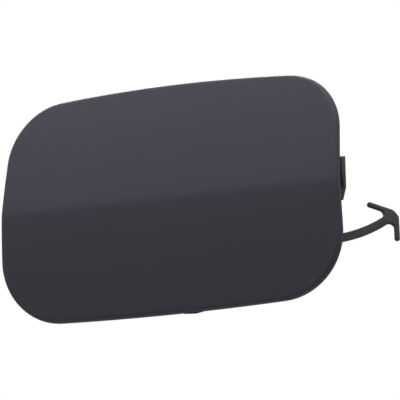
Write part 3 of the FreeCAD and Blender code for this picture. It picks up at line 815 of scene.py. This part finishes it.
class COVER_OT_side_clips(bpy.types.Operator):
    """Model the right snap clip and its mirrored twin"""

    bl_idname = "cover.side_clips"
    bl_label = "Side Clips"

    def execute(self, context):
        form, c = Form(context.scene.cover_panel), context.scene.cover_clips
        outer = form.s.half_width - c.clip_inset
        inner = outer - c.clip_plate
        bevel_top = c.clip_bevel - c.clip_foot
        bevel_start = c.clip_reach - c.clip_slant
        front = run_between(Vector((0, c.clip_top)), Vector((0, -c.clip_foot)), FRONT_STEP)
        profile = [(buried(form, outer, p.y), p.y) for p in front]
        profile += [(bevel_start - c.clip_bevel, -c.clip_foot), (bevel_start, bevel_top),
                    (c.clip_reach, c.clip_top)]
        clip = prism("side_clip_right", [Vector((inner, y, z)) for y, z in profile], Vector((1, 0, 0)),
                     c.clip_plate)
        inside = outer - c.clip_plate / 2
        tip = outer + c.barb_height
        ramp = bevel_start - c.barb_land
        barb_profile = [(inside, c.clip_catch), (tip, c.clip_catch), (tip, c.clip_catch + c.barb_land),
                        (outer, ramp), (inside, ramp)]
        barb = prism("side_barb", [Vector((x, y, bevel_top)) for x, y in barb_profile], Vector((0, 0, 1)),
                     c.clip_top - bevel_top)
        join_solid(clip, barb)
        for number, level in enumerate((c.clip_top - c.gusset_inset, c.gusset_inset - c.clip_foot)):
            join_solid(clip, self.gusset(form, c, number, inner, inside, level))
        break_edges(clip, c.edge_round)
        shade(clip)
        fit_out_pair(clip, "side_clip_left")
        return {"FINISHED"}

    def gusset(self, form, c, number, inner, inside, level):
        """A triangular brace between the clip's plate and the wall."""
        def slant(t):
            return inner - c.gusset_run * t, c.gusset_reach + (form.s.wall - c.gusset_reach) * t

        foot = settle(lambda t: slant(t)[1] - buried(form, slant(t)[0], level), 0, 1.5)
        corners = [slant(foot), (inside, buried(form, inside, level)), (inside, c.gusset_reach),
                   (inner, c.gusset_reach)]
        low = level - c.gusset_thickness / 2
        return prism("gusset_%d" % number, [Vector((x, y, low)) for x, y in corners], Vector((0, 0, 1)),
                     c.gusset_thickness)


def tab(form, c, name, spacing, width, low, up, catch, reach, hook):
    """A flat tab with a hook across it; up is +1 for a hook on its upper side and -1 for the lower."""
    nip = c.lip_plate
    x0, x1 = spacing - width / 2, spacing + width / 2
    middle = low + c.lip_plate / 2
    front = run_between(Vector((x1, 0)), Vector((x0, 0)), FRONT_STEP)
    plan = [(p.x, buried(form, p.x, middle)) for p in front]
    plan += [(x0, reach - nip), (x0 + nip, reach), (x1 - nip, reach), (x1, reach - nip)]
    plate = prism(name, [Vector((x, y, low)) for x, y in plan], Vector((0, 0, 1)), c.lip_plate)
    face = low + c.lip_plate if up > 0 else low
    tip = face + hook * up
    profile = [(catch, middle), (catch, tip), (catch + c.barb_land, tip), (reach - nip, face),
               (reach - nip, middle)]
    lug = prism(name + "_hook", [Vector((x0, y, z)) for y, z in profile], Vector((1, 0, 0)), width)
    join_solid(plate, lug)
    break_edges(plate, c.edge_round)
    shade(plate)
    return plate


class COVER_OT_top_clips(bpy.types.Operator):
    """Model the two long clips behind the upper edge"""

    bl_idname = "cover.top_clips"
    bl_label = "Top Clips"

    def execute(self, context):
        form, c = Form(context.scene.cover_panel), context.scene.cover_clips
        clip = tab(form, c, "top_clip_right", c.lip_spacing, c.lip_width,
                   form.s.top_height - c.lip_inset - c.lip_plate, 1, c.lip_catch, c.lip_reach, c.lip_barb)
        fit_out_pair(clip, "top_clip_left")
        return {"FINISHED"}


class COVER_OT_bottom_tongues(bpy.types.Operator):
    """Model the two hooked tongues behind the lower edge"""

    bl_idname = "cover.bottom_tongues"
    bl_label = "Bottom Tongues"

    def execute(self, context):
        form, c = Form(context.scene.cover_panel), context.scene.cover_clips
        tongue = tab(form, c, "bottom_tongue_right", c.tongue_spacing, c.tongue_width,
                     c.tongue_inset - form.s.bottom_depth, -1, c.tongue_catch, c.tongue_reach, c.tongue_hook)
        fit_out_pair(tongue, "bottom_tongue_left")
        return {"FINISHED"}


# tether

def bend(a, b, radius, side, steps):
    """Places on an arc from a to b, without b; side is +1 for a centre on the left of the run."""
    half = (b - a) / 2
    rise = math.sqrt(max(radius ** 2 - half.length_squared, 0.0))
    centre = a + half + Vector((-half.y, half.x)).normalized() * rise * side
    first = math.atan2(*(a - centre).yx)
    last = math.atan2(*(b - centre).yx)
    sweep = (last - first) * side % math.tau * side
    turns = [first + sweep * k / steps for k in range(steps)]
    return [centre + Vector((math.cos(a), math.sin(a))) * radius for a in turns]


def round_corner(before, corner, after, radius, steps):
    """Places round a corner that turns left, tangent to the runs before and after it."""
    back, on = (before - corner).normalized(), (after - corner).normalized()
    cut = radius / math.tan(back.angle(on) / 2)
    first, last = corner + back * cut, corner + on * cut
    return bend(first, last, radius, 1, steps) + [last]


def strap_start(t, strap_trim=0.0, arm_trim=0.0):
    """How far from the nose the strap starts to curve, with what the anchor's outline needs to get there."""
    half, w = t.strap_width / 2 - strap_trim, t.arm_width / 2 - arm_trim
    arm = math.hypot(t.arm_back, t.arm_side - t.nose_side)
    ax, ay = -t.arm_back / arm, (t.arm_side - t.nose_side) / arm
    run = (t.armpit_radius + arm_trim) * math.sqrt((1 - ax) / (1 + ax))
    cross = (half - t.nose_side - w * ax) / ay * ax - w * ay
    return run - cross + t.strap_plain, ax, ay, run, cross


def tether_outline(t, reach, strap_trim=0.0, arm_trim=0.0):
    """Strap and anchor seen flat and trimmed, x along the strap to the nose, from root end to root end."""
    half, w = t.strap_width / 2 - strap_trim, t.arm_width / 2 - arm_trim
    pit, nose = t.armpit_radius + arm_trim, t.nose_round - arm_trim
    curve, ax, ay, run, cross = strap_start(t, strap_trim, arm_trim)
    beyond = reach - curve

    def side(k):
        r = t.strap_bow - half * k
        return [Vector(p) for p in (
            (w * ay, (t.nose_side - w * ax) * k),
            (w * ay - t.arm_back, (t.arm_side - w * ax) * k),
            (-(t.arm_back + w * ay), (t.arm_side + w * ax) * k),
            (cross + run * ax, (half + run * ay) * k),
            (cross - run, half * k),
            (-curve, half * k),
            (-reach, t.strap_bow - math.sqrt(r * r - beyond * beyond)))]

    nose_l, end_l, turn_l, pit_l, foot_l, bend_l, root_l = side(-1)
    nose_u, end_u, turn_u, pit_u, foot_u, bend_u, root_u = side(1)
    cap = w * ARM_END_ROUND
    places = bend(root_l, bend_l, t.strap_bow + half, 1, STRAP_STEPS) + [bend_l]
    places += bend(foot_l, pit_l, pit, -1, ARMPIT_STEPS) + [pit_l]
    places += bend(turn_l, end_l, cap, 1, ARM_END_STEPS) + [end_l]
    places += round_corner(end_l, nose_l, nose_u, nose, NOSE_STEPS)
    places += round_corner(nose_l, nose_u, end_u, nose, NOSE_STEPS)
    places += bend(end_u, turn_u, cap, 1, ARM_END_STEPS) + [turn_u]
    places += bend(pit_u, foot_u, pit, -1, ARMPIT_STEPS) + [foot_u]
    places += bend(bend_u, root_u, t.strap_bow - half, -1, STRAP_STEPS) + [root_u]
    return places


def trim_at(level, thickness, radius):
    """How far a rounded edge draws in at a level above the middle of a flat strap."""
    into = abs(level) - (thickness / 2 - radius)
    return radius - math.sqrt(radius ** 2 - into ** 2) if into > 0 else 0.0


class COVER_OT_tether(bpy.types.Operator):
    """Model the flat strap with its two-armed anchor"""

    bl_idname = "cover.tether"
    bl_label = "Tether"

    def execute(self, context):
        form, t = Form(context.scene.cover_panel), context.scene.cover_tether
        nose = Vector((form.s.half_width + t.out, t.back, -t.drop))
        place = Matrix.Translation(nose)
        for turn, axis in ((t.swing, "Z"), (-t.rise, "Y"), (math.radians(90) - t.twist, "X")):
            place = place @ Matrix.Rotation(turn, 4, axis)
        curve = strap_start(t)[0]

        def behind(local):
            """How far a place on the strap lies behind the middle of the wall."""
            point = place @ local
            return point.y - form.depth(point.x, point.z, form.s.wall / 2)

        def on_strap(turn, aside):
            r = t.strap_bow - aside
            return Vector((-curve - r * math.sin(turn), t.strap_bow - r * math.cos(turn), 0))

        longest = 1.2 * (t.strap_length - curve) / t.strap_bow
        turn = settle(lambda a: behind(on_strap(a, 0)), 0, longest)
        reach = curve + t.strap_bow * math.sin(turn)
        along = Vector((-math.cos(turn), math.sin(turn), 0))
        upper = [t.strap_thickness / 2 - t.arm_round * (1 - math.sin(math.radians(90) * k / LAYER_STEPS))
                 for k in range(LAYER_STEPS + 1)]
        layers = []
        for level in [-z for z in reversed(upper)] + upper:
            trims = [trim_at(level, t.strap_thickness, radius) for radius in (t.strap_round, t.arm_round)]
            layer = [Vector((p.x, p.y, level)) for p in tether_outline(t, reach, *trims)]
            for end in (0, -1):
                corner = layer[end].copy()
                layer[end] = corner + along * settle(lambda d: behind(corner + along * d), -4 * MM, 4 * MM)
            layers.append(layer)
        tether = loft("tether", layers)
        tether.matrix_world = place
        pick(tether)
        bpy.ops.object.transform_apply(location=True, rotation=True, scale=True)
        shade(tether)
        fit_out(tether, RAW)
        return {"FINISHED"}


class COVER_OT_gate(bpy.types.Operator):
    """Model the trimmed gate on the lower edge"""

    bl_idname = "cover.gate"
    bl_label = "Trimmed Gate"

    def execute(self, context):
        form, t = Form(context.scene.cover_panel), context.scene.cover_tether
        s = form.s
        x0, x1 = t.gate_place - t.gate_width / 2, t.gate_place + t.gate_width / 2
        y0 = form.depth(t.gate_place, -s.bottom_depth) + (s.wall - t.gate_thickness) * GATE_SETBACK
        foot, inside = -s.bottom_depth, s.wall / 2 - s.bottom_depth
        crest = x0 + t.gate_width * GATE_CREST
        profile = [(x0, inside), (x0, foot), (x0 + t.gate_torn, foot - t.gate_torn),
                   (crest, foot - t.gate_proud), (x1, foot), (x1, inside)]
        gate = prism("trimmed_gate", [Vector((x, y0, z)) for x, z in profile], Vector((0, 1, 0)),
                     t.gate_thickness)
        break_edges(gate, t.gate_round)
        mark_coat(gate, form)
        shade(gate)
        fit_out(gate, PRIMED)
        return {"FINISHED"}


# studio

class COVER_OT_studio(bpy.types.Operator):
    """Set the pale floor, the white surround, the soft lamps and the camera"""

    bl_idname = "cover.studio"
    bl_label = "Studio"

    def execute(self, context):
        st = context.scene.cover_studio
        self.floor(st)
        self.world(context.scene, st)
        self.lamps(st)
        self.camera(context.scene, st)
        context.scene.view_settings.view_transform = "Standard"
        return {"FINISHED"}

    def floor(self, st):
        floor = start(bpy.ops.mesh.primitive_circle_add, "floor", vertices=128, radius=0.6, fill_type="NGON",
                      location=(0, 0, -st.floor_drop))
        n = Nodes("pale_floor")
        n.shader.inputs["Roughness"].default_value = 0.9
        n.shader.inputs["Specular IOR Level"].default_value = 0.1
        greys = [linear((grey, grey, grey)) for grey in (0.86, 0.88)]
        n.feed(n.shader.inputs["Base Color"], n.blend(n.noise(30 * MM, 3.0), *greys))
        far = n.add("ShaderNodeVectorMath", {"operation": "LENGTH"})
        n.feed(far.inputs[0], n.place)
        fade = n.spread(far.outputs["Value"], 0.2, 0.5)
        glow = n.add("ShaderNodeEmission", Color=(1, 1, 1, 1), Strength=1.0)
        mix = n.add("ShaderNodeMixShader")
        n.feed(mix.inputs[0], n.maths("MULTIPLY", fade, seen_by_eye(n.tree)))
        n.feed(mix.inputs[1], n.shader.outputs[0])
        n.feed(mix.inputs[2], glow.outputs[0])
        n.feed(n.output.inputs["Surface"], mix.outputs[0])
        floor.data.materials.append(n.material)

    def world(self, scene, st):
        world = scene.world or bpy.data.worlds.new("surround")
        scene.world = world
        world.use_nodes = True
        tree = world.node_tree
        tree.nodes.clear()
        mix = tree.nodes.new("ShaderNodeMixShader")
        tree.links.new(seen_by_eye(tree), mix.inputs[0])
        for socket, strength in ((1, st.world_light), (2, 1.0)):
            light = tree.nodes.new("ShaderNodeBackground")
            light.inputs["Color"].default_value = (1, 1, 1, 1)
            light.inputs["Strength"].default_value = strength
            tree.links.new(light.outputs[0], mix.inputs[socket])
        output = tree.nodes.new("ShaderNodeOutputWorld")
        tree.links.new(mix.outputs[0], output.inputs["Surface"])

    def lamps(self, st):
        """Square lamps, each aimed at the cover."""
        for name, place, size, power in (
            ("top_lamp", Vector((0.15, -0.1, 0.55)), 0.3, st.top_watts),
            ("left_lamp", Vector((-0.35, -0.15, 0.5)), 0.3, st.left_watts),
            ("right_lamp", Vector((0.4, 0.1, 0.5)), 0.3, st.right_watts),
            ("rear_lamp", Vector((-0.35, 0.7, 0.4)), 0.5, st.rear_watts),
        ):
            bpy.ops.object.light_add(type="AREA", location=place)
            lamp = bpy.context.object
            lamp.name = name
            lamp.data.shape = "SQUARE"
            lamp.data.size = size
            lamp.data.energy = power
            lamp.rotation_euler = place.to_track_quat("Z", "Y").to_euler()

    def camera(self, scene, st):
        back = Vector((math.sin(st.azimuth), -math.cos(st.azimuth), 0))
        right = Vector((math.cos(st.azimuth), math.sin(st.azimuth), 0))
        up = Vector((0, 0, 1))
        rolled_right = right * math.cos(st.roll) - up * math.sin(st.roll)
        rolled_up = right * math.sin(st.roll) + up * math.cos(st.roll)
        middle = rolled_right * st.origin_left - rolled_up * st.origin_up
        turn = Matrix((rolled_right, rolled_up, back)).transposed()
        bpy.ops.object.camera_add()
        camera = bpy.context.object
        camera.name = "catalogue_camera"
        camera.matrix_world = Matrix.Translation(middle + back * st.distance) @ turn.to_4x4()
        camera.data.lens = camera.data.sensor_width * st.distance / st.frame_width
        camera.data.clip_start, camera.data.clip_end = 0.01, 20
        scene.camera = camera


PIECES = (COVER_OT_show_panel, COVER_OT_locating_rib, COVER_OT_stiffeners, COVER_OT_ejector_marks,
          COVER_OT_side_clips, COVER_OT_top_clips, COVER_OT_bottom_tongues, COVER_OT_tether, COVER_OT_gate,
          COVER_OT_studio)
SETTINGS = (("cover_panel", PanelSizes), ("cover_ribs", RibSizes), ("cover_clips", ClipSizes),
            ("cover_tether", TetherSizes), ("cover_finishes", Finishes), ("cover_studio", StudioSettings))


class COVER_PT_sidebar(bpy.types.Panel):
    """Lists the cover's operators and their sizes"""

    bl_idname = "COVER_PT_sidebar"
    bl_label = "Tow Hook Cover"
    bl_space_type = "VIEW_3D"
    bl_region_type = "UI"
    bl_category = "Tow Cover"

    def draw(self, context):
        column = self.layout.column(align=True)
        for piece in PIECES:
            column.operator(piece.bl_idname)
        for name, group in SETTINGS:
            box = self.layout.box()
            box.label(text=group.__doc__)
            settings = getattr(context.scene, name)
            for key in group.__annotations__:
                box.prop(settings, key)


CLASSES = tuple(group for _, group in SETTINGS) + PIECES + (COVER_PT_sidebar,)


def register():
    for kind in CLASSES:
        bpy.utils.register_class(kind)
    for name, group in SETTINGS:
        setattr(bpy.types.Scene, name, PointerProperty(type=group))


def unregister():
    for name, _ in SETTINGS:
        delattr(bpy.types.Scene, name)
    for kind in reversed(CLASSES):
        bpy.utils.unregister_class(kind)


def main():
    register()
    for piece in PIECES:
        group, call = piece.bl_idname.split(".")
        getattr(getattr(bpy.ops, group), call)()


if __name__ == "__main__":
    main()
